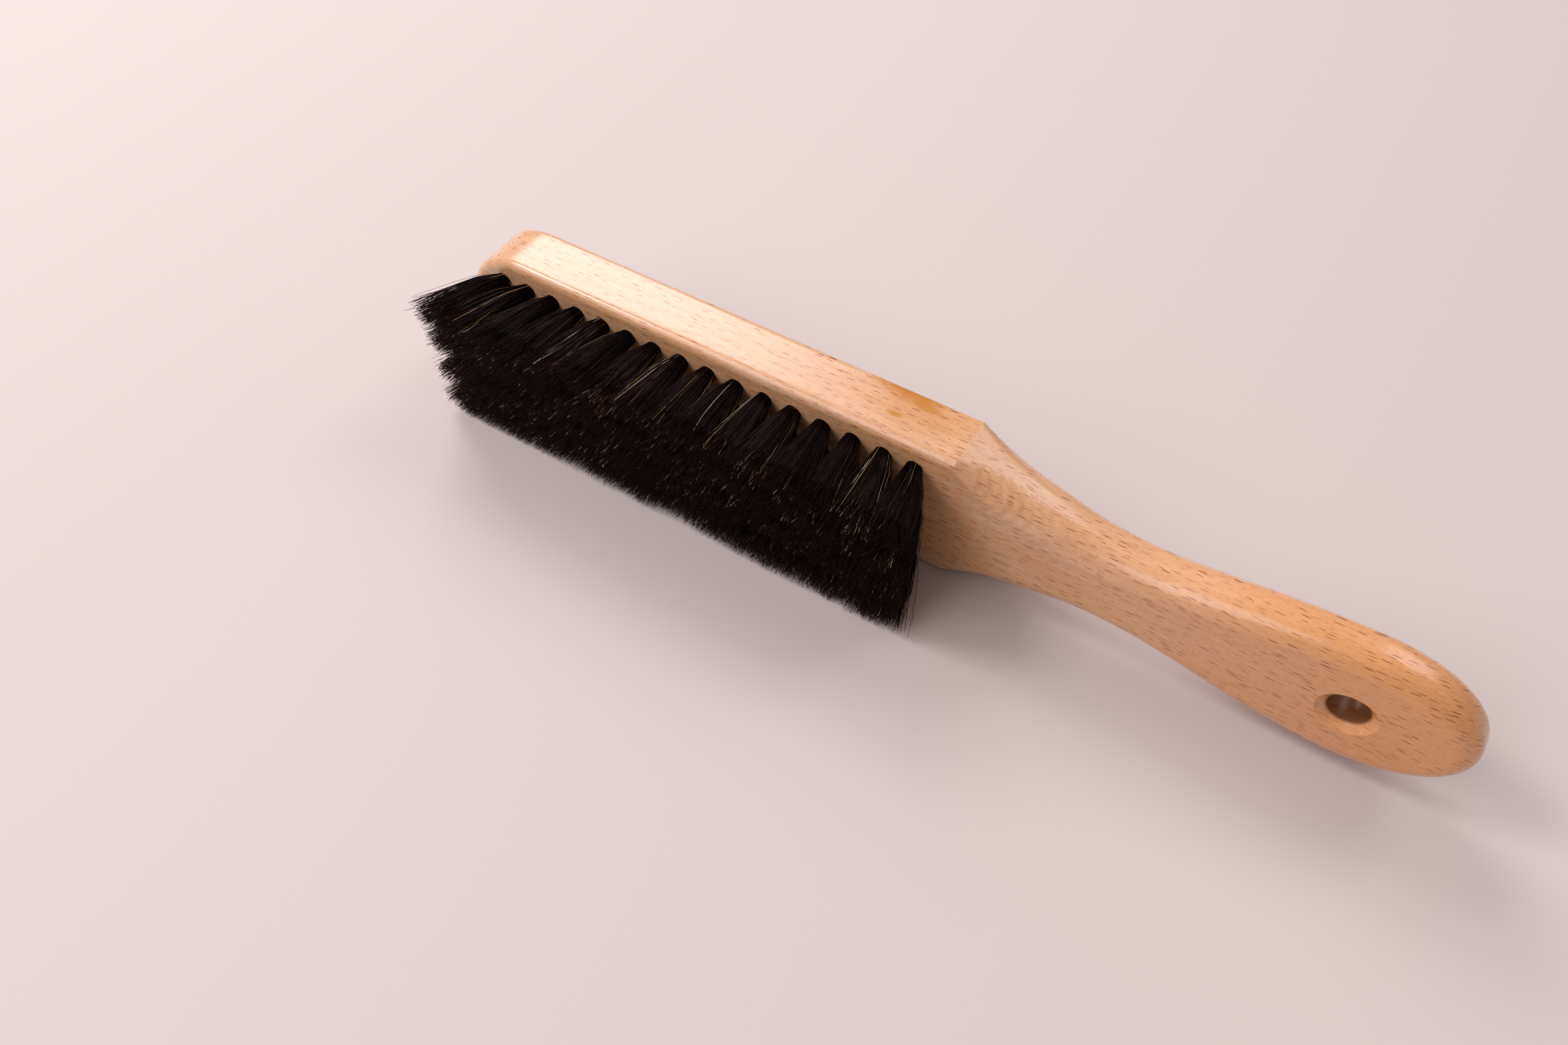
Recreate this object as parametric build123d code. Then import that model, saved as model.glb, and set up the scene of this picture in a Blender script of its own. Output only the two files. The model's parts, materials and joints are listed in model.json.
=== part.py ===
from build123d import *
import math
import os

# A handled clothes brush: a one-piece beech body with sixty-four hair tufts.
# Each tuft is a bundle of hair folded double over a flat steel anchor and driven
# into a blind hole. The brush lies on its long side: +X runs to the handle's tip,
# the bristles point to -Y and +Z is up. All lengths are in millimetres.

# Bristle field
columns = 16                  # tufts along the length
rows = 4                      # tufts across the width
column_pitch = 9.0
row_pitch = 10.2
hole_diameter = 4.8
hole_depth = 9.6              # full width, before the drill's point
drill_point = 118             # degrees, the included angle of the hole's end
free_hair = 25.0              # from the bristle face to the cut tips
tip_width_x = 8.4             # a tuft's spread at its tip, along the brush
tip_width_z = 9.4             # and across it
column_fan = 0.8              # how much further apart the tips are, for each column
row_fan = 0.7                 # and for each row
hair_play = 0.05              # between a tuft and the wall of its hole

# Anchors: short lengths of flat wire, a little longer than the hole is wide
anchor_length = 5.8
anchor_width = 1.8
anchor_thickness = 0.4
anchor_depth = 6.2            # from the bristle face to the anchor's near edge
anchor_play = 0.02

# Block
block_width = 45.6
block_thickness = 17.6
toe_margin = 15.8             # from the first column to the toe
heel_margin = 10.3            # from the last column to the shoulder of the neck
toe_radius = 21.5
block_edge = 2.5

# Handle
handle_length = 130.6         # from the shoulder to the tip
neck_width = 25.4
neck_from_shoulder = 43.0
grip_width = 39.4
grip_from_tip = 27.9          # from the grip's widest place to the tip
grip_thickness = 12.8
grip_droop = 1.0              # how far the grip's front stands forward of the bristle face
neck_edge = 6.5               # radius of the long edges once clear of the shoulder
neck_edge_from_shoulder = 13.0
grip_edge = 5.0               # and from the grip to the tip
shoulder_angle = 17           # degrees, at which the neck leaves the block's side
back_fall = 3.4               # degrees, at which the back leaves the block's back

# Hanging hole
hang_radius = 4.8
hang_from_tip = 27.9
hang_mouth_radius = 7.1       # at the countersink's mouth
hang_mouth_depth = 2.0

# Places along and across the brush. The frame's origin is the middle of the whole
# brush in X and Y, and the block's lower side is at Z = 0.
block_length = toe_margin + (columns - 1) * column_pitch + heel_margin
toe_x = -(block_length + handle_length) / 2
shoulder_x = toe_x + block_length
tip_x = shoulder_x + handle_length
face_y = (free_hair - block_thickness) / 2          # the bristle face
back_y = face_y + block_thickness
mid_z = block_width / 2
first_column_x = toe_x + toe_margin
hang_x = tip_x - hang_from_tip
grip_x = tip_x - grip_from_tip
neck_x = shoulder_x + neck_from_shoulder
grip_front_y = face_y - grip_droop
grip_back_y = grip_front_y + grip_thickness


def column_x(column):
    return first_column_x + column * column_pitch


def row_z(row):
    return mid_z + (row - (rows - 1) / 2) * row_pitch


def outline_plane(y):
    """A sketch plane facing -Y, whose own x is the brush's X and whose y is Z."""
    return Plane(origin=(0, y, mid_z), x_dir=(1, 0, 0), z_dir=(0, -1, 0))


def block():
    """The flat block, with a well rounded toe."""
    with BuildSketch(outline_plane(back_y)) as outline:
        with Locations((toe_x + block_length / 2, 0)):
            Rectangle(block_length, block_width)
        toe_corners = outline.vertices().sort_by(Axis.X)[:2]
        fillet(toe_corners, toe_radius)
    solid = extrude(outline.sketch, block_thickness)
    faces = solid.faces().sort_by(Axis.Y)
    rims = faces[0].edges() + faces[-1].edges()
    return fillet([e for e in rims if (e @ 0.5).X < shoulder_x - 0.01], block_edge)


def along(curve, x):
    """A point of a curve that runs along X, where it passes x."""
    low, high = 0.0, 1.0
    for _ in range(40):
        middle = (low + high) / 2
        if (curve @ middle).X < x:
            low = middle
        else:
            high = middle
    return curve @ low


def leaving(degrees):
    """The direction along X, falling by an angle."""
    return Vector(1, 0).rotate(Axis.Z, -degrees)


def handle_edge(from_shoulder):
    """The radius of the handle's long edges: quick growth at the shoulder, then a taper."""
    if from_shoulder < neck_edge_from_shoulder:
        share = from_shoulder / neck_edge_from_shoulder
        return block_edge + (neck_edge - block_edge) * math.sin(share * math.pi / 2)
    share = (from_shoulder - neck_edge_from_shoulder) / (
        handle_length - grip_from_tip - neck_edge_from_shoulder
    )
    return neck_edge + (grip_edge - neck_edge) * share


def neck():
    """The handle from shoulder to grip, lofted through rounded rectangles."""
    half_width = Spline(
        (shoulder_x, block_width / 2), (neck_x, neck_width / 2), (grip_x, grip_width / 2),
        tangents=(leaving(shoulder_angle), (1, 0)),
    )
    front = Spline(
        (shoulder_x, face_y), (grip_x, grip_front_y), tangents=((1, 0), (1, 0))
    )
    back = Spline(
        (shoulder_x, back_y), (grip_x, grip_back_y), tangents=(leaving(back_fall), (1, 0))
    )
    length = grip_x - shoulder_x
    sections = []
    for share in (0, 0.03, 0.07, 0.12, 0.19, 0.28, 0.4, 0.52, 0.64, 0.76, 0.87, 0.95, 1):
        x = shoulder_x + share * length
        near, far = along(front, x).Y, along(back, x).Y
        plane = Plane(origin=(x, (near + far) / 2, mid_z), x_dir=(0, 1, 0), z_dir=(1, 0, 0))
        width = 2 * along(half_width, x).Y
        section = RectangleRounded(far - near, width, handle_edge(share * length))
        sections.append(plane * section)
    return loft(sections)


def tip():
    """The handle past the grip: half an ellipse, its front and back edges rounded."""
    with BuildSketch(outline_plane(grip_back_y)) as outline:
        Ellipse(grip_from_tip, grip_width / 2)
        with Locations((-grip_from_tip / 2, 0)):
            Rectangle(grip_from_tip, grip_width, mode=Mode.SUBTRACT)
    solid = Pos(grip_x, 0, 0) * extrude(outline.sketch, grip_thickness)
    rims = [e for e in solid.edges() if e.geom_type == GeomType.ELLIPSE]
    return fillet(rims, grip_edge)


def hang_hole():
    """A through hole near the tip, countersunk on both faces."""
    thickness = grip_thickness
    flare = Cone(hang_mouth_radius, hang_radius, hang_mouth_depth)
    bore = Cylinder(hang_radius, thickness + 2)
    front = Pos(0, 0, -(thickness - hang_mouth_depth) / 2) * flare
    back = Pos(0, 0, (thickness - hang_mouth_depth) / 2) * Rot(180, 0, 0) * flare
    tool = bore + front + back
    centre = Pos(hang_x, grip_front_y + thickness / 2, mid_z)
    return centre * Rot(-90, 0, 0) * tool


def tuft_hole():
    """One blind drilled hole, with its mouth at the origin and its depth along +Z."""
    radius = hole_diameter / 2
    point = radius / math.tan(math.radians(drill_point / 2))
    straight = Pos(0, 0, hole_depth / 2) * Cylinder(radius, hole_depth)
    end = Pos(0, 0, hole_depth + point / 2) * Cone(radius, 0, point)
    return straight + end


def anchor(play=0.0):
    """A flat steel anchor set across a tuft hole whose mouth is at the origin."""
    centre = Pos(0, 0, anchor_depth + anchor_width / 2)
    sizes = (anchor_thickness, anchor_length, anchor_width)
    return centre * Box(*[size + 2 * play for size in sizes])


def tuft(lean_x, lean_z):
    """One tuft in its hole: a round stem, then hair that spreads and leans outwards."""
    stem_radius = hole_diameter / 2 - hair_play
    stem = Pos(0, 0, hole_depth / 2) * Cylinder(stem_radius, hole_depth)
    stem = fillet(stem.edges().sort_by(Axis.Z)[-1], stem_radius / 2)
    root = Plane.XY * Circle(stem_radius)
    tips = Pos(lean_x, -lean_z, -free_hair) * Ellipse(tip_width_x / 2, tip_width_z / 2)
    hair = loft([root, tips])
    return stem + hair - anchor(anchor_play)


def in_hole(column, row, thing):
    """Turn a thing made in hole coordinates and put it in its hole in the block."""
    return Pos(column_x(column), face_y, row_z(row)) * Rot(-90, 0, 0) * thing


def fanned_tuft(column, row):
    """The tuft of one hole, leaning away from the middle of the bristle field."""
    lean_x = (column - (columns - 1) / 2) * column_fan
    lean_z = (row - (rows - 1) / 2) * row_fan
    return in_hole(column, row, tuft(lean_x, lean_z)).solid()


def brush_body():
    """Block and handle in one piece of beech, drilled, with a pocket for each anchor."""
    body = block() + neck() + tip() - hang_hole()
    tool = tuft_hole() + anchor(anchor_play)
    places = [(column, row) for column in range(columns) for row in range(rows)]
    return body - [in_hole(column, row, tool) for column, row in places]


def parts():
    """Every node's name and its shape."""
    yield "brush_body", brush_body()
    for column in range(columns):
        number = f"{column + 1:02d}"
        tufts = [fanned_tuft(column, row) for row in range(rows)]
        anchors = [in_hole(column, row, anchor()).solid() for row in range(rows)]
        yield f"tufts_{number}", Compound(tufts)
        yield f"anchors_{number}", Compound(anchors)


os.makedirs("parts", exist_ok=True)
for name, shape in parts():
    export_step(shape, f"parts/{name}.step")
    print(name, len(shape.solids()), "solids,", round(shape.volume), "mm3")
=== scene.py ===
import json
import math

import bpy
import numpy as np
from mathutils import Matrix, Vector


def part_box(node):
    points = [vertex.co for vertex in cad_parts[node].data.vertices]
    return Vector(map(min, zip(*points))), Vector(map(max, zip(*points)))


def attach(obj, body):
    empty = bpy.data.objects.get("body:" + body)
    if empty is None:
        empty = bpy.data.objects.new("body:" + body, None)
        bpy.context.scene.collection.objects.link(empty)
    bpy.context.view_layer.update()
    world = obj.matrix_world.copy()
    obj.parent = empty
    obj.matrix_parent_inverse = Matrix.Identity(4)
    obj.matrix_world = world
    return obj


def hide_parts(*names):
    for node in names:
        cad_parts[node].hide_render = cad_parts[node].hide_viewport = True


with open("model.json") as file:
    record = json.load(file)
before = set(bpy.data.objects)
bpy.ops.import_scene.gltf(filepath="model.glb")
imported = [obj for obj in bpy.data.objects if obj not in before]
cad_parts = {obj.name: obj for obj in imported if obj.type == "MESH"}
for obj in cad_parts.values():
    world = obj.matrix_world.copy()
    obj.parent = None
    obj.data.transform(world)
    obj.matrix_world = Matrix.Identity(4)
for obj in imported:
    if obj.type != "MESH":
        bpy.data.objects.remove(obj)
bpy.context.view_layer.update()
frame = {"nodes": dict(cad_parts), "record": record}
mm = 0.001
scene = bpy.context.scene
scene.view_settings.view_transform = "Standard"
print("frame loaded:", len(frame["nodes"]), "nodes")


# Helpers

# sRGB hex to linear: below 0.04045 a twelfth, above it a power of 2.4
def linear(code):
    parts = [int(code[i:i + 2], 16) / 255 for i in (1, 3, 5)]
    return (*[c / 12.92 if c <= 0.04045 else ((c + 0.055) / 1.055) ** 2.4 for c in parts], 1)


# Adds one shader node. Each input is a value, a socket, or a node whose first live
# output is meant
def addNode(tree, kind, inputs=None, **settings):
    node = tree.nodes.new("ShaderNode" + kind)
    for name, value in settings.items():
        setattr(node, name, value)
    for name, value in (inputs or {}).items():
        if isinstance(value, bpy.types.Node):
            value = next(o for o in value.outputs if o.enabled)
        if isinstance(value, bpy.types.NodeSocket):
            tree.links.new(value, node.inputs[name])
        else:
            node.inputs[name].default_value = value
    return node


def newMaterial(name):
    material = bpy.data.materials.new(name)
    material.use_nodes = True
    material.node_tree.nodes.clear()
    return material, material.node_tree


# Camera: above the handle, looking down and back along the brush
camera = {
    "place": (85.69, -167.58, 266.78),        # mm
    "turn": (36.84, 1.80, 32.93),             # degrees, as XYZ Euler angles
    "lens": 27.11,                            # mm, on a sensor 36 mm wide
    "nearest": 10,                            # mm, nothing closer is drawn
}
lens = bpy.data.cameras.new("camera")
lens.lens = camera["lens"]
lens.clip_start = camera["nearest"] * mm
cameraObject = bpy.data.objects.new("camera", lens)
cameraObject.location = [v * mm for v in camera["place"]]
cameraObject.rotation_euler = [math.radians(a) for a in camera["turn"]]
scene.collection.objects.link(cameraObject)
scene.camera = cameraObject


# Light: three softboxes to the left, one behind the brush, one beside its toe and one in
# front of it, and a weak one behind the handle, in a pale room. Each place is where the
# lamp hangs
lamps = {
    "behind": {"place": (-1050, 815, 1140), "side": 820, "watts": 15},
    "beside": {"place": (-1150, -330, 1355), "side": 450, "watts": 12},
    "front": {"place": (-700, -1100, 1300), "side": 1200, "watts": 13.5},
    "far": {"place": (650, 1020, 1200), "side": 700, "watts": 5},
}
room = {"colour": "#fff2ef", "strength": 0.30, "lampColour": "#fff9fb",
        "faces": (-60, 0, 20)}
for name, lamp in lamps.items():
    area = bpy.data.lights.new("softbox_" + name, "AREA")
    area.shape = "SQUARE"
    area.size = lamp["side"] * mm
    area.energy = lamp["watts"]
    area.color = linear(room["lampColour"])[:3]
    hung = bpy.data.objects.new("softbox_" + name, area)
    hung.location = [v * mm for v in lamp["place"]]
    away = Vector(lamp["place"]) - Vector(room["faces"])
    hung.rotation_euler = away.to_track_quat("Z", "Y").to_euler()
    scene.collection.objects.link(hung)

world = bpy.data.worlds.new("room")
world.use_nodes = True
world.node_tree.nodes["Background"].inputs["Color"].default_value = linear(room["colour"])
world.node_tree.nodes["Background"].inputs["Strength"].default_value = room["strength"]
scene.world = world


# Floor: a plain pale sheet, matt
floorSheet = {"half": 6000, "colour": "#cfc5c2", "roughness": 0.9, "specular": 0.1}


def makeFloor():
    half = floorSheet["half"] * mm
    corners = np.array([(-1, -1, 0), (1, -1, 0), (1, 1, 0), (-1, 1, 0)]) * half
    mesh = bpy.data.meshes.new("floor")
    mesh.from_pydata(corners.tolist(), [], [(0, 1, 2, 3)])
    material, tree = newMaterial("matt pale sheet")
    shader = addNode(tree, "BsdfPrincipled", {
        "Base Color": linear(floorSheet["colour"]),
        "Roughness": floorSheet["roughness"],
        "Specular IOR Level": floorSheet["specular"]})
    addNode(tree, "OutputMaterial", {"Surface": shader})
    mesh.materials.append(material)
    floor = bpy.data.objects.new("floor", mesh)
    scene.collection.objects.link(floor)


makeFloor()
print("camera, light and floor placed")


# Most of a noise texture lies between these two
noiseSpan = (0.3, 0.7)


# Lacquered beech. Pale pinkish-tan hardwood with faint growth rings and short dark ray
# dashes along the grain, sawn so the rings cross both faces at 45 degrees. A thin clear
# lacquer over it gives a soft gloss, broken by the raised grain.
beech = {
    "early": "#deae87",
    "late": "#d09b71",
    "ray": "#8c3c08",
    "warm": "#d3975f",                        # slow drifts of colour
    "tanDriftAndShade": "#dd9a60",                        # deepens towards the tip: partly the wood's own drift, partly painted shade where no sheen pales it
    "tanDriftAndShadeRange": (35.0, 150.0),               # mm, in x
    "stain": "#bd7818",                       # amber marks on the side, near the neck
    "bore": "#5e3015",                        # raw unlacquered end grain in the drilled hole, darkened further with painted shade
    "sawn": -45,                              # degrees about the grain
    "ringWidth": 2.6,                         # mm
    "ringStart": 0.3,                         # of that stays pale early wood
    "rayCell": (3.9, 1.1, 3.0),               # mm, along the grain, round the rings, out
    "rayHalf": (1.6, 0.135, 2.0),             # mm, half a dash's size along the same three
    "rayShare": 0.85,                         # of the cells hold a dash
    "rayAmount": 0.9,
    "fineCell": (1.7, 0.45, 1.5),
    "fineHalf": (0.65, 0.08, 0.9),
    "fineShare": 0.8,
    "fineAmount": 0.36,
    "dashEdge": (0.65, 1.1),                  # a dash is full inside the first, gone past
                                              # the second
    "dashStray": 0.9,                         # how far a dash lies off an even grid
    "dashLift": 0.5,                          # power of its weight; low evens them out
    "wander": 5,                              # mm, from one extreme of the grain's
                                              # straying to the other
    "wanderWaves": (0.012, 0.05, 0.05),       # for each mm: along, round and out
    "fibreWaves": (0.12, 2.4, 2.4),
    "fibreShade": (0.90, 1.07),
    "driftWaves": (0.02, 0.07, 0.07),
    "driftRange": (0.42, 0.68),
    "driftAmount": 0.55,
    "stains": [                               # place and reach in mm, and strength
        {"place": (-4.0, 20.0, 45.0), "reach": (9.6, 3.6, 4.0), "strength": 0.9},
        {"place": (-5.4, 11.0, 45.6), "reach": (2.2, 0.9, 2.0), "strength": 0.9},
        {"place": (-1.0, 12.5, 45.6), "reach": (10.0, 5.0, 2.0), "strength": 0.24},
    ],
    "stainWaves": (0.2, 0.45, 0.45),          # for each mm, the marks' ragged edges
    "stainRagged": 1.6,                       # of a mark's reach
    "stainEdge": (1.4, 2.15),                 # a mark is full inside the first, gone past
                                              # the second
    "chatterPitch": 2.9,                      # mm, between the cutter's arcs on the neck
    "chatterRange": (16, 22, 32, 46),         # mm, in x: they come in, and fade out
    "chatterReach": (20, 80),                 # square mm across: full inside, gone outside
    "chatterBow": 0.06,                       # mm of bow for each square mm across
    "neckEdge": (47.6, 0.27, 15.25),          # y + z on the neck's front edge: at its
                                              # start, its fall along x, where it starts
    "boreEdge": (0.1, 0.6),                   # mm outside the hanging hole's wall
    "boreAmount": 0.8,
    "grainRelief": 0.06,                      # mm, and its strength
    "grainStrength": 0.5,
    "rayRelief": 0.008,                       # mm, and its strength
    "rayStrength": 0.3,
    "chatterRelief": 0.05,                    # mm
    "roughness": 0.46,
    "roughnessSpread": (-0.05, 0.08),
    "specular": 0.15,                         # under the lacquer the wood hardly shines
    "coatRoughness": 0.18,
    "coatIor": 1.5,
}


# A field of spindle dashes in the grain. Each Voronoi cell holds one dash, the places
# where |round| / half thickness + (along / half length)^2 + (out / half height)^2 is
# small. It is weighted by the cell's own random number, so that some cells are empty
def rayDashes(tree, grainPoint, cell, half, share):
    cells = addNode(tree, "VectorMath", {0: grainPoint, 1: [1 / size for size in cell]},
                    operation="MULTIPLY")
    voronoi = addNode(tree, "TexVoronoi", {
        "Vector": cells, "Scale": 1, "Randomness": beech["dashStray"]})
    offset = addNode(tree, "VectorMath", {0: cells, 1: voronoi.outputs["Position"]},
                     operation="SUBTRACT")
    scaled = addNode(tree, "VectorMath", {
        0: offset, 1: [size / part for size, part in zip(cell, half)]},
        operation="MULTIPLY")
    parts = addNode(tree, "SeparateXYZ", {0: scaled})
    along = addNode(tree, "Math", {0: parts.outputs["X"], 1: 2}, operation="POWER")
    out = addNode(tree, "Math", {
        0: parts.outputs["Z"], 1: parts.outputs["Z"], 2: along}, operation="MULTIPLY_ADD")
    across = addNode(tree, "Math", {0: parts.outputs["Y"]}, operation="ABSOLUTE")
    both = addNode(tree, "Math", {0: out, 1: across}, operation="ADD")
    full, gone = beech["dashEdge"]
    shape = addNode(tree, "MapRange", {
        "Value": both, "From Min": gone, "From Max": full, "To Min": 0, "To Max": 1})
    chance = addNode(tree, "SeparateColor", {0: voronoi.outputs["Color"]})
    weight = addNode(tree, "MapRange", {
        "Value": chance.outputs["Red"], "From Min": 1 - share, "From Max": 1,
        "To Min": 0, "To Max": 1})
    lifted = addNode(tree, "Math", {0: weight, 1: beech["dashLift"]}, operation="POWER")
    return addNode(tree, "Math", {0: shape, 1: lifted}, operation="MULTIPLY")


def makeBeech():
    material, tree = newMaterial("lacquered beech")
    objectPoint = addNode(tree, "TexCoord").outputs["Object"]
    millimetres = addNode(tree, "VectorMath", {0: objectPoint, 1: (1 / mm,) * 3},
                          operation="MULTIPLY")
    # x stays along the grain, y becomes the way along a ring and z the way out through them
    grain = addNode(tree, "Mapping", {
        "Vector": millimetres, "Rotation": (math.radians(beech["sawn"]), 0, 0)})

    # The grain wanders slowly, by a millimetre or so
    slow = addNode(tree, "VectorMath", {0: grain, 1: beech["wanderWaves"]},
                   operation="MULTIPLY")
    wander = addNode(tree, "TexNoise", {"Vector": slow, "Scale": 1, "Detail": 1})
    centred = addNode(tree, "VectorMath", {0: wander.outputs["Color"], 1: (0.5,) * 3},
                      operation="SUBTRACT")
    shift = addNode(tree, "VectorMath", {
        0: centred, 1: (0, beech["wander"], beech["wander"])}, operation="MULTIPLY")
    wandering = addNode(tree, "VectorMath", {0: grain, 1: shift}, operation="ADD")

    # Growth rings: a soft saw along the way out through them
    layers = addNode(tree, "SeparateXYZ", {0: wandering})
    ringCount = addNode(tree, "Math", {0: layers.outputs["Z"], 1: 1 / beech["ringWidth"]},
                        operation="MULTIPLY")
    ringNoise = addNode(tree, "TexNoise", {"W": ringCount, "Scale": 1, "Detail": 2},
                        noise_dimensions="1D")
    saw = addNode(tree, "Math", {0: ringCount}, operation="FRACT")
    ring = addNode(tree, "MapRange", {
        "Value": saw, "From Min": beech["ringStart"], "From Max": 1,
        "To Min": 0, "To Max": 1})
    ringAmount = addNode(tree, "Math", {0: ring, 1: ringNoise}, operation="MULTIPLY")

    # Fibres: noise drawn out to twenty times its width along the grain
    fibrePoint = addNode(tree, "VectorMath", {0: wandering, 1: beech["fibreWaves"]},
                         operation="MULTIPLY")
    fibre = addNode(tree, "TexNoise", {
        "Vector": fibrePoint, "Scale": 1, "Detail": 4, "Roughness": 0.65})
    drift = addNode(tree, "TexNoise", {"Vector": addNode(
        tree, "VectorMath", {0: wandering, 1: beech["driftWaves"]}, operation="MULTIPLY"),
        "Scale": 1, "Detail": 2})

    rays = rayDashes(tree, wandering, beech["rayCell"], beech["rayHalf"], beech["rayShare"])
    fineRays = rayDashes(tree, wandering, beech["fineCell"], beech["fineHalf"],
                         beech["fineShare"])

    # Colour, from the wood up
    ringColour = addNode(tree, "Mix", {
        0: ringAmount, 6: linear(beech["early"]), 7: linear(beech["late"])}, data_type="RGBA")
    driftAmount = addNode(tree, "MapRange", {
        "Value": drift, "From Min": beech["driftRange"][0],
        "From Max": beech["driftRange"][1],
        "To Min": 0, "To Max": beech["driftAmount"]})
    driftColour = addNode(tree, "Mix", {
        0: driftAmount, 6: ringColour, 7: linear(beech["warm"])}, data_type="RGBA")
    fibreAmount = addNode(tree, "MapRange", {
        "Value": fibre, "From Min": noiseSpan[0], "From Max": noiseSpan[1],
        "To Min": beech["fibreShade"][0], "To Max": beech["fibreShade"][1]})
    place = addNode(tree, "SeparateXYZ", {0: millimetres})
    # Painted shade along x: the colour deepens towards the handle's tip, partly the wood's
    # own drift and partly standing in for the lacquer sheen that pales the block
    tanDriftAndShadeAmount = addNode(tree, "MapRange", {
        "Value": place.outputs["X"], "From Min": beech["tanDriftAndShadeRange"][0],
        "From Max": beech["tanDriftAndShadeRange"][1]})
    tanDriftAndShadeColour = addNode(tree, "Mix", {
        0: tanDriftAndShadeAmount, 6: driftColour, 7: linear(beech["tanDriftAndShade"])}, data_type="RGBA")
    fibreColour = addNode(tree, "VectorMath", {0: tanDriftAndShadeColour, 1: fibreAmount},
                          operation="MULTIPLY")
    fineAmount = addNode(tree, "Math", {0: fineRays, 1: beech["fineAmount"]},
                         operation="MULTIPLY")
    fineColour = addNode(tree, "Mix", {
        0: fineAmount, 6: fibreColour, 7: linear(beech["ray"])}, data_type="RGBA")
    rayAmount = addNode(tree, "Math", {0: rays, 1: beech["rayAmount"]}, operation="MULTIPLY")
    rayColour = addNode(tree, "Mix", {
        0: rayAmount, 6: fineColour, 7: linear(beech["ray"])}, data_type="RGBA")

    # The amber marks: ellipsoids with a ragged edge, 1 inside and 0 outside
    ragged = addNode(tree, "TexNoise", {"Vector": addNode(
        tree, "VectorMath", {0: millimetres, 1: beech["stainWaves"]}, operation="MULTIPLY"),
        "Scale": 1, "Detail": 3})
    stained = rayColour
    full, gone = beech["stainEdge"]
    for stain in beech["stains"]:
        fromStain = addNode(tree, "VectorMath", {0: millimetres, 1: stain["place"]},
                            operation="SUBTRACT")
        stainUnits = addNode(tree, "VectorMath", {0: fromStain, 1: stain["reach"]},
                             operation="DIVIDE")
        away = addNode(tree, "VectorMath", {0: stainUnits}, operation="LENGTH")
        edge = addNode(tree, "Math", {
            0: ragged, 1: beech["stainRagged"], 2: away.outputs["Value"]},
            operation="MULTIPLY_ADD")
        amount = addNode(tree, "MapRange", {
            "Value": edge, "From Min": gone, "From Max": full,
            "To Min": 0, "To Max": stain["strength"]})
        stained = addNode(tree, "Mix", {
            0: amount, 6: stained, 7: linear(beech["stain"])}, data_type="RGBA")

    # The bored hole: everything within its radius of its axis, which lies along y, loses its
    # lacquer and is darkened, partly as raw end grain and partly as painted shade in the hole
    mount = next(m for m in frame["record"]["mounts"] if m["name"] == "hanging_hole")
    holeX, _, holeZ = np.array(mount["pos_m"]) / mm
    inside, outside = mount["dims"]["r_mm"] + np.array(beech["boreEdge"])
    flat = addNode(tree, "VectorMath", {0: millimetres, 1: (1, 0, 1)}, operation="MULTIPLY")
    boreAway = addNode(tree, "VectorMath", {0: flat, 1: (holeX, 0, holeZ)},
                       operation="DISTANCE")
    boreAmount = addNode(tree, "MapRange", {
        "Value": boreAway.outputs["Value"], "From Min": outside, "From Max": inside,
        "To Min": 0, "To Max": beech["boreAmount"]})
    lacquer = addNode(tree, "Math", {0: 1, 1: boreAmount}, operation="SUBTRACT")
    wood = addNode(tree, "Mix", {
        0: boreAmount, 6: stained, 7: linear(beech["bore"])}, data_type="RGBA")

    # Relief: open grain, ray dashes and the arcs that the cutter left round the neck's
    # edge, waves of x + bow * across^2, where across is 0 on the edge
    level, fall, start = beech["neckEdge"]
    heightAndDepth = addNode(tree, "Math", {
        0: place.outputs["Y"], 1: place.outputs["Z"]}, operation="ADD")
    fallen = addNode(tree, "Math", {
        0: place.outputs["X"], 1: fall, 2: -level - fall * start}, operation="MULTIPLY_ADD")
    across = addNode(tree, "Math", {0: heightAndDepth, 1: fallen}, operation="ADD")
    squared = addNode(tree, "Math", {0: across, 1: across}, operation="MULTIPLY")
    bowed = addNode(tree, "Math", {
        0: squared, 1: beech["chatterBow"], 2: place.outputs["X"]}, operation="MULTIPLY_ADD")
    turns = addNode(tree, "Math", {
        0: bowed, 1: 2 * math.pi / beech["chatterPitch"]}, operation="MULTIPLY")
    wave = addNode(tree, "Math", {0: turns}, operation="SINE")
    begin, full, fade, end = beech["chatterRange"]
    inner = addNode(tree, "MapRange", {
        "Value": place.outputs["X"], "From Min": begin, "From Max": full})
    outer = addNode(tree, "MapRange", {
        "Value": place.outputs["X"], "From Min": end, "From Max": fade})
    near, far = beech["chatterReach"]
    onEdge = addNode(tree, "MapRange", {"Value": squared, "From Min": far, "From Max": near})
    window = addNode(tree, "Math", {0: inner, 1: outer}, operation="MULTIPLY")
    windowed = addNode(tree, "Math", {0: window, 1: onEdge}, operation="MULTIPLY")
    chatter = addNode(tree, "Math", {0: wave, 1: windowed}, operation="MULTIPLY")
    grainBump = addNode(tree, "Bump", {
        "Strength": beech["grainStrength"], "Distance": beech["grainRelief"] * mm,
        "Height": fibre})
    rayBump = addNode(tree, "Bump", {
        "Strength": beech["rayStrength"], "Distance": beech["rayRelief"] * mm,
        "Height": rays, "Normal": grainBump}, invert=True)
    chatterBump = addNode(tree, "Bump", {
        "Strength": 1, "Distance": beech["chatterRelief"] * mm, "Height": chatter,
        "Normal": rayBump})

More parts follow.
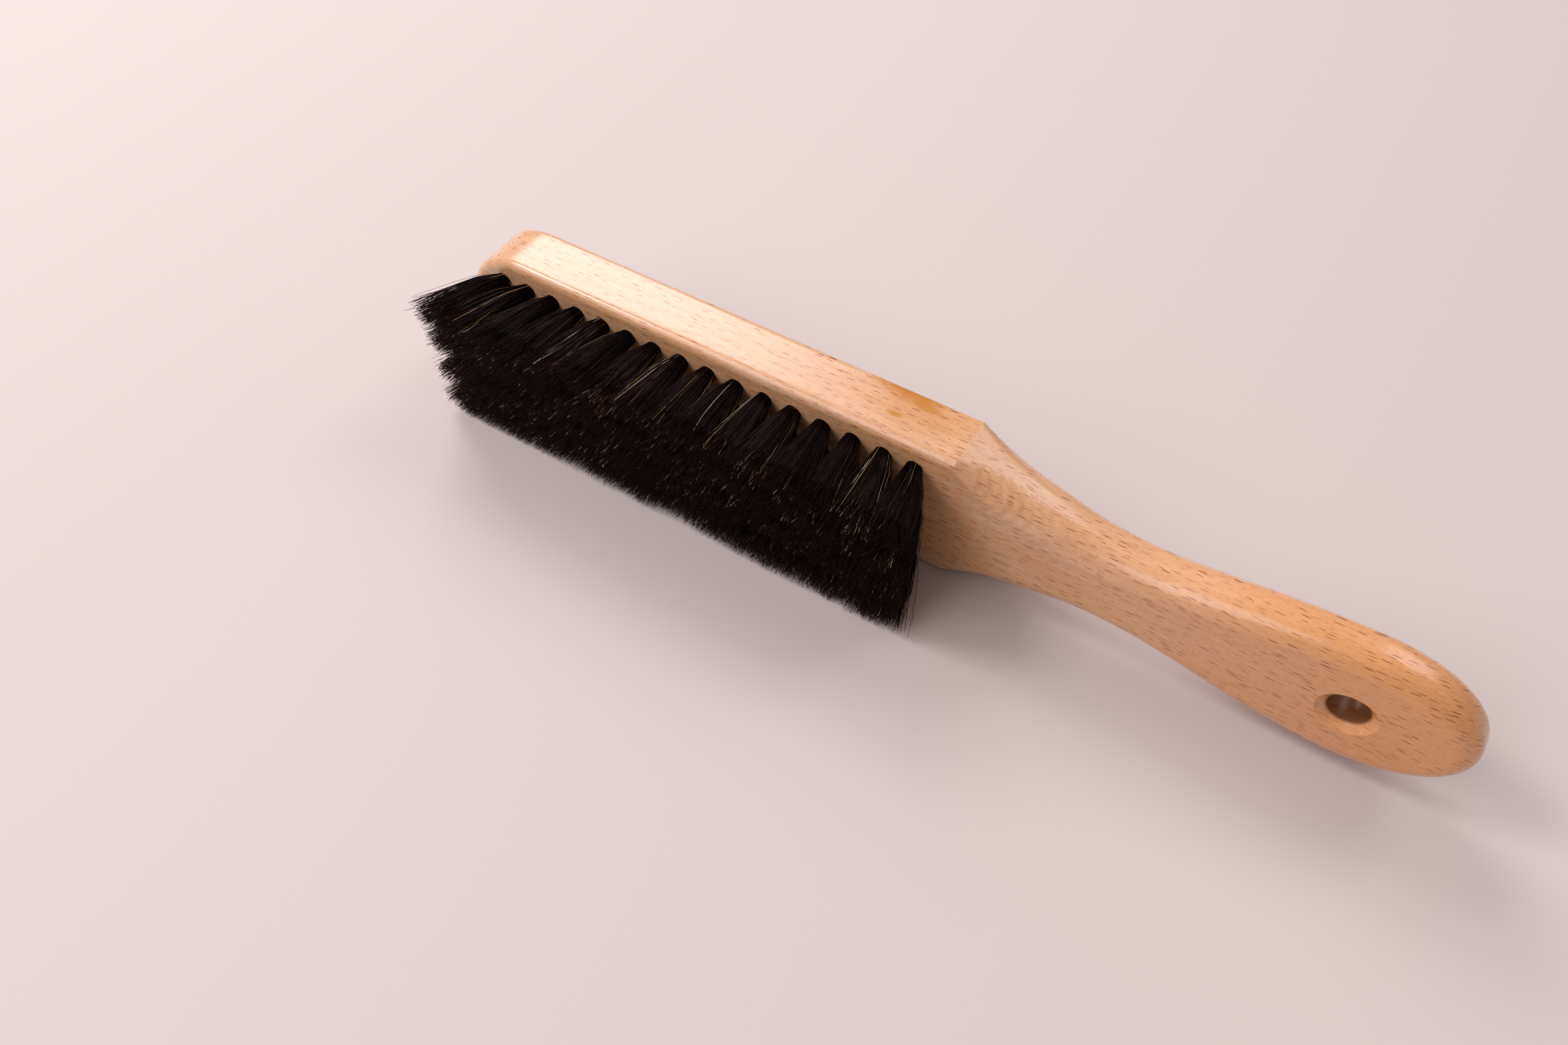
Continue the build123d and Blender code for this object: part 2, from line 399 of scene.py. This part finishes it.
    roughness = addNode(tree, "MapRange", {
        "Value": fibre, "From Min": noiseSpan[0], "From Max": noiseSpan[1],
        "To Min": beech["roughness"] + beech["roughnessSpread"][0],
        "To Max": beech["roughness"] + beech["roughnessSpread"][1]})
    shader = addNode(tree, "BsdfPrincipled", {
        "Base Color": wood, "Roughness": roughness, "Normal": chatterBump,
        "Specular IOR Level": beech["specular"],
        "Coat Weight": lacquer, "Coat Roughness": beech["coatRoughness"],
        "Coat IOR": beech["coatIor"], "Coat Normal": chatterBump})
    addNode(tree, "OutputMaterial", {"Surface": shader})
    return material


# Bright drawn steel wire, faintly streaked along its length
steel = {
    "colour": "#b9b7b2",
    "roughness": 0.34,
    "roughnessSpread": 0.08,
    "streak": 0.3,                            # mm across
    "streakLength": 2.0,                      # mm
    "relief": 0.02,                           # mm, and its strength
    "reliefStrength": 0.3,
}


def makeSteel():
    material, tree = newMaterial("drawn steel wire")
    objectPoint = addNode(tree, "TexCoord").outputs["Object"]
    across = steel["streak"] * mm
    stretched = addNode(tree, "VectorMath", {
        0: objectPoint, 1: (1 / (steel["streakLength"] * mm), 1 / across, 1 / across)},
        operation="MULTIPLY")
    streaks = addNode(tree, "TexNoise", {"Vector": stretched, "Scale": 1, "Detail": 3})
    roughness = addNode(tree, "MapRange", {
        "Value": streaks, "From Min": noiseSpan[0], "From Max": noiseSpan[1],
        "To Min": steel["roughness"] - steel["roughnessSpread"],
        "To Max": steel["roughness"] + steel["roughnessSpread"]})
    bump = addNode(tree, "Bump", {
        "Strength": steel["reliefStrength"], "Distance": steel["relief"] * mm,
        "Height": streaks})
    shader = addNode(tree, "BsdfPrincipled", {
        "Base Color": linear(steel["colour"]), "Metallic": 1, "Roughness": roughness,
        "Normal": bump})
    addNode(tree, "OutputMaterial", {"Surface": shader})
    return material


beechMaterial = makeBeech()
steelMaterial = makeSteel()
for name, node in frame["nodes"].items():
    if name == "brush_body" or name.startswith("anchors"):
        chosen = beechMaterial if name == "brush_body" else steelMaterial
        for index in range(len(node.material_slots)):
            node.material_slots[index].material = chosen
print("beech and steel on the CAD nodes")


# Black animal hair, stiff, straight and slightly glossy, with the odd brown, tan or
# white one among the black. UV x is a random number for each hair, y runs root to tip.
hair = {
    # where each colour starts, among hairs numbered evenly from 0 to 1
    "blends": [(0.0, "#060304"), (0.60, "#0e0709"), (0.85, "#190e10"), (0.955, "#3a281f"),
               (0.986, "#a08258"), (0.995, "#cdc4b5")],
    "roughness": 0.28,
    "specular": 0.16,
    "sheenTint": "#f2b4a8",                   # what the hair gives back is faintly brown
    "perTuft": 600,
    "thickness": 0.165,                       # mm at the root
    "tipThickness": 0.6,                      # of that, at the tip
    "rings": 6,
    "inHole": 3.0,                            # mm of each hair drawn inside its hole
    "rootRadius": 2.32,                       # mm
    "rows": 4,
    "rowPitch": 10.2,                         # mm, between the rows at the face
    "rowFan": 0.7,                            # mm, by which it grows at the tips
    "anchorDepth": 6.2,                       # mm, from the face to the anchors
    "solidTip": 8.4,                          # mm, a CAD tuft's width along the brush
    "tipSpread": (11.7, 9.3),                 # mm, along the brush and across it
    "squareness": 0.18,                       # how far a tuft's corners are pushed out
    "clumps": 18,
    "clumpArea": 0.95,                        # of the spread
    "clumpPull": 0.4,
    "flare": 0.66,                            # spread grows as this power of the way out
    "wave": 0.45,                             # mm
    "waveTurns": (1.5, 4.5),                  # radians along a hair
    "liveliness": (0.75, 1.35),               # times the waves, scatter and strays, from
                                              # the toe's end to the handle's
    "tuftWander": 0.70,                       # mm, each whole tuft's tip from its place
    "scatter": 0.6,                           # mm, at the tip
    "scatterAcross": 0.7,                     # of that, across the brush
    "curl": 1.1,                              # mm, each tip bent aside at its very end
    "curlAcross": 0.6,                        # of that, across the brush
    "uneven": 0.8,                            # mm, among the cut tips
    "tuftUneven": 0.35,                       # mm, from one tuft to the next
    "thicknessRange": (0.75, 1.15),           # times the thickness, from hair to hair
    "floorGap": 0.5,                          # mm, the lowest that a hair's line reaches
    "shortShare": 0.10,
    "shortBy": 4.0,                           # mm
    "strayShare": 0.015,
    "strayReach": 1.8,                        # mm
    # the share of pale hairs in the top tuft of these columns
    "paleColumns": {1: 0.02, 3: 0.02, 6: 0.03, 7: 0.03, 8: 0.04, 11: 0.03, 14: 0.05},
    "fluffPerHole": 3,                        # short curly hairs caught at the mouths
    "fluffLength": (2.0, 5.0),                # mm
    "fluffThickness": 0.09,                   # mm
    "fluffBearing": 1.0,                      # radians, how unevenly they set off
    "fluffTurn": 4,                           # radians, the most that a curl turns
    "fluffArch": 1.4,                         # low brings a curl's end back to the face
    "fluffLean": (0.1, 0.7),                  # how steeply a curl leaves the face
    "fluffRim": 2.2,                          # mm from the hole's middle
    "fluffOff": 0.15,                         # mm off the face
    "palePick": (0.98, 1),                    # among the numbered hairs
    "fluffPick": (0.984, 0.997),              # tan and white ones
    "seed": 11,
}


def makeHairMaterial():
    material, tree = newMaterial("black horsehair")
    strand = addNode(tree, "UVMap", uv_map="strand")
    parts = addNode(tree, "SeparateXYZ", {0: strand})
    ramp = addNode(tree, "ValToRGB", {0: parts.outputs["X"]})
    ramp.color_ramp.interpolation = "CONSTANT"
    for place, code in hair["blends"][1:-1]:
        ramp.color_ramp.elements.new(place)
    for element, (place, code) in zip(ramp.color_ramp.elements, hair["blends"]):
        element.position = place
        element.color = linear(code)
    ramp.color_ramp.elements[-1].position = hair["blends"][-1][0]
    ramp.color_ramp.elements[-1].color = linear(hair["blends"][-1][1])
    shader = addNode(tree, "BsdfPrincipled", {
        "Base Color": ramp.outputs["Color"], "Roughness": hair["roughness"],
        "Specular IOR Level": hair["specular"],
        "Specular Tint": linear(hair["sheenTint"])})
    addNode(tree, "OutputMaterial", {"Surface": shader})
    return material


# Turns centre lines into closed three-sided tubes. paths is (hairs, rings, 3) and radii
# (hairs, rings), both in mm. A tube's corner k on a ring is its centre plus the radius
# times (cos a, 0, sin a), with a = spin + k * 120 degrees
def tubes(paths, radii, spin):
    count, rings = radii.shape
    angle = spin[:, None] + np.arange(3)[None, :] * 2 * np.pi / 3
    around = np.stack([np.cos(angle), np.zeros_like(angle), np.sin(angle)], axis=-1)
    points = paths[:, :, None, :] + radii[:, :, None, None] * around[:, None, :, :]
    base = np.arange(count)[:, None, None] * rings * 3
    ring = np.arange(rings - 1)[None, :, None] * 3
    here = np.arange(3)[None, None, :]
    onwards = (here + 1) % 3
    quads = np.stack([base + ring + here, base + ring + onwards,
                      base + ring + 3 + onwards, base + ring + 3 + here], axis=-1)
    start = np.arange(count)[:, None] * rings * 3
    rootCaps = start + np.array([0, 2, 1])
    tipCaps = start + (rings - 1) * 3 + np.array([0, 1, 2])
    return points.reshape(-1, 3), quads.reshape(-1, 4), np.concatenate([rootCaps, tipCaps])


def makeHairMesh(name, points, quads, caps, strandNumber, wayOut):
    mesh = bpy.data.meshes.new(name)
    corners = np.concatenate([quads.ravel(), caps.ravel()]).astype(np.int32)
    starts = np.concatenate([np.arange(len(quads)) * 4,
                             len(quads) * 4 + np.arange(len(caps)) * 3]).astype(np.int32)
    mesh.vertices.add(len(points))
    mesh.vertices.foreach_set("co", (points * mm).astype(np.float32).ravel())
    mesh.loops.add(len(corners))
    mesh.loops.foreach_set("vertex_index", corners)
    mesh.polygons.add(len(starts))
    mesh.polygons.foreach_set("loop_start", starts)
    mesh.polygons.foreach_set("use_smooth", np.ones(len(starts), bool))
    mesh.update(calc_edges=True)
    layer = mesh.uv_layers.new(name="strand")
    uv = np.stack([strandNumber[corners], wayOut[corners]], axis=-1)
    layer.data.foreach_set("uv", uv.astype(np.float32).ravel())
    mesh.validate()
    return mesh


# A tuft's hairs leave their hole in a tight round bundle and fan out into a rounded
# square. With s the way out from 0 to 1, a hair's centre is
# root + (tip - root) * s^flare + wave * sin(turns * s + phase) * s + curl * s^4
def tuftPaths(random, rootCentre, tipCentre, faceY, tipY, lively):
    count, rings = hair["perTuft"], hair["rings"]
    reach = np.sqrt(random.random(count))
    bearing = random.random(count) * 2 * np.pi
    disc = np.stack([reach * np.cos(bearing), reach * np.sin(bearing)], axis=-1)
    root = disc * hair["rootRadius"]
    # The disc's points are pushed out towards a rounded square
    corners = (np.abs(np.sin(2 * bearing)) * reach)[:, None]
    square = disc * (1 + hair["squareness"] * corners)
    tipSpread = np.array(hair["tipSpread"])
    tip = square * tipSpread / 2
    centres = (random.random((hair["clumps"], 2)) - 0.5) * tipSpread * hair["clumpArea"]
    nearest = np.argmin(((tip[:, None, :] - centres[None]) ** 2).sum(-1), axis=1)
    tip += (centres[nearest] - tip) * hair["clumpPull"] * random.random((count, 1))
    scatter = random.normal(0, hair["scatter"], (count, 2))
    tip += scatter * np.array([lively, hair["scatterAcross"]])
    tip += random.normal(0, hair["tuftWander"], 2)
    stray = random.random(count) < hair["strayShare"] * lively
    tip += stray[:, None] * random.normal(0, hair["strayReach"], (count, 2))
    short = (random.random(count) < hair["shortShare"]) * random.random(count)
    tipHeight = tipY + hair["uneven"] * random.random(count) + hair["shortBy"] * short
    tipHeight += abs(random.normal(0, hair["tuftUneven"]))

    s = np.concatenate([[0], np.linspace(0, 1, rings - 1)])
    spread = s ** hair["flare"]
    turns = random.uniform(*hair["waveTurns"], (count, 1))
    phase = random.random((count, 2)) * 2 * np.pi
    wave = hair["wave"] * lively * random.random((count, 1))
    curl = random.normal(0, hair["curl"], (count, 2)) * np.array([1, hair["curlAcross"]])
    path = np.zeros((count, rings, 3))
    for axis, plane in ((0, 0), (2, 1)):
        start = rootCentre[plane] + root[:, plane:plane + 1]
        end = tipCentre[plane] + tip[:, plane:plane + 1]
        ripple = wave * (np.sin(turns * s + phase[:, plane:plane + 1])
                         - np.sin(phase[:, plane:plane + 1])) * s
        bend = curl[:, plane:plane + 1] * s ** 4
        path[:, :, axis] = start + (end - start) * spread + ripple + bend
    path[:, :, 1] = faceY + (tipHeight[:, None] - faceY) * s
    path[:, 0, 1] = faceY + hair["inHole"]
    taper = 1 - (1 - hair["tipThickness"]) * s ** 2
    thickness = hair["thickness"] * random.uniform(*hair["thicknessRange"], (count, 1))
    radii = thickness / 2 * taper
    return path, radii, s


# Short curls caught at a hole's mouth. A curl starts on the mouth's rim and turns
# steadily: its direction at s is bearing + turn * s, in a plane leaning off the face
def fluffPaths(random, rootX, rowZ, faceY, rings):
    count = hair["fluffPerHole"]
    start = random.random(count) * 2 * np.pi
    bearing = start + random.normal(0, hair["fluffBearing"], count)
    turn = random.uniform(-hair["fluffTurn"], hair["fluffTurn"], count)
    length = random.uniform(*hair["fluffLength"], count)
    lean = random.uniform(*hair["fluffLean"], count)
    s = np.linspace(0, 1, rings)
    heading = bearing[:, None] + turn[:, None] * s[None, :]
    step = (length / (rings - 1))[:, None]
    rim = hair["fluffRim"]
    x = rootX + rim * np.cos(start)[:, None] + np.cumsum(np.cos(heading) * step, axis=1)
    z = rowZ + rim * np.sin(start)[:, None] + np.cumsum(np.sin(heading) * step, axis=1)
    arch = s * (hair["fluffArch"] - s)
    y = faceY - hair["fluffOff"] - lean[:, None] * length[:, None] * arch
    radii = np.full((count, rings), hair["fluffThickness"] / 2)
    return np.stack([x, y, z], axis=-1), radii


def makeTufts():
    material = makeHairMaterial()
    random = np.random.default_rng(hair["seed"])
    boxes = {name: np.array([list(c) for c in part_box(name)]) / mm
             for name in frame["nodes"] if name != "brush_body"}
    numbers = sorted(name[-2:] for name in boxes if name.startswith("tufts"))
    columns, rows = len(numbers), hair["rows"]
    firstTip = boxes["tufts_" + numbers[0]][0][0]
    lastTip = boxes["tufts_" + numbers[-1]][1][0]
    tipY = boxes["tufts_" + numbers[0]][0][1]
    faceY = boxes["anchors_" + numbers[0]][0][1] - hair["anchorDepth"]
    tipPitch = (lastTip - firstTip - hair["solidTip"]) / (columns - 1)
    bodyLow, bodyHigh = [np.array(list(corner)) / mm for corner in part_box("brush_body")]
    middleZ = (bodyLow[2] + bodyHigh[2]) / 2
    fromMiddle = np.arange(rows) - (rows - 1) / 2
    rowRoots = middleZ + fromMiddle * hair["rowPitch"]
    rowTips = middleZ + fromMiddle * (hair["rowPitch"] + hair["rowFan"])
    calm, lively = hair["liveliness"]
    for index, number in enumerate(numbers):
        low, high = boxes["anchors_" + number]
        rootX = (low[0] + high[0]) / 2
        tipX = firstTip + hair["solidTip"] / 2 + tipPitch * index
        life = calm + (lively - calm) * index / (columns - 1)
        tufts = [tuftPaths(random, (rootX, rootZ), (tipX, tipZ), faceY, tipY, life)
                 for rootZ, tipZ in zip(rowRoots, rowTips)]
        fluffs = [fluffPaths(random, rootX, rootZ, faceY, hair["rings"])
                  for rootZ in rowRoots]
        path = np.concatenate([part[0] for part in tufts + fluffs])
        path[:, :, 2] = np.clip(path[:, :, 2], hair["floorGap"], None)
        radii = np.concatenate([part[1] for part in tufts + fluffs])
        s = tufts[0][2]
        count, rings = radii.shape
        spin = random.random(count) * 2 * np.pi
        points, quads, caps = tubes(path, radii, spin)
        colourPick = random.random(count)
        pale = random.random(count) < hair["paleColumns"].get(index, 0)
        pale &= np.arange(count) >= (rows - 1) * hair["perTuft"]
        colourPick = np.where(pale, random.uniform(*hair["palePick"], count), colourPick)
        fluff = rows * hair["fluffPerHole"]
        colourPick[-fluff:] = random.uniform(*hair["fluffPick"], fluff)
        mesh = makeHairMesh(f"hair_{number}", points, quads, caps,
                            np.repeat(colourPick, rings * 3),
                            np.tile(np.repeat(s, 3), count))
        mesh.materials.append(material)
        piece = bpy.data.objects.new(f"hair_{number}", mesh)
        scene.collection.objects.link(piece)
        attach(piece, "root")
        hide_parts(f"tufts_{number}")
    print("hair:", columns, "columns of", rows, "tufts,", hair["perTuft"], "hairs each")


makeTufts()
